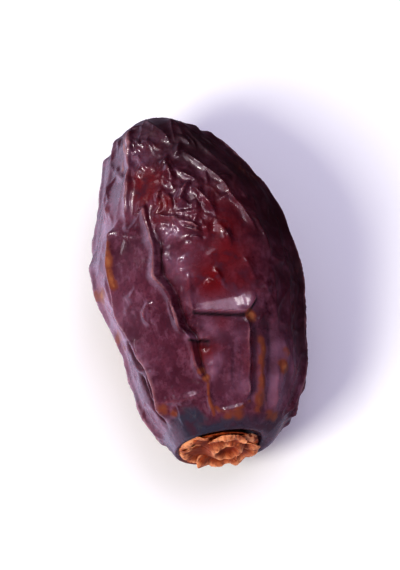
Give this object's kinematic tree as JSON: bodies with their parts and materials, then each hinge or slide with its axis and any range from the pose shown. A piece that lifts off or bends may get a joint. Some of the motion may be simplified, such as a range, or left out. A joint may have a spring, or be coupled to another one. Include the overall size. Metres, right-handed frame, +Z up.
{
  "type": "medjool date",
  "caption": "Dried medjool date lying on its side: long oval fruit with deep folds, tapering to a rounded tip, with a woody lobed calyx cap at its blunt stem end.",
  "frame": {"origin": "on the surface that the date lies on, under the middle of its box", "axes": "+Y along the fruit from the calyx to the tip, +Z up, +X across it"},
  "size_m": [0.027, 0.0475, 0.0232],
  "materials": {
    "date_skin": "waxy semi-gloss dried fruit skin, dark plum to maroon with tan fold crests",
    "calyx": "matt, fibrous, orange-brown"
  },
  "bodies": {
    "root": {"date_fruit": "date_skin", "calyx_cap": "calyx"}
  },
  "joints": []
}
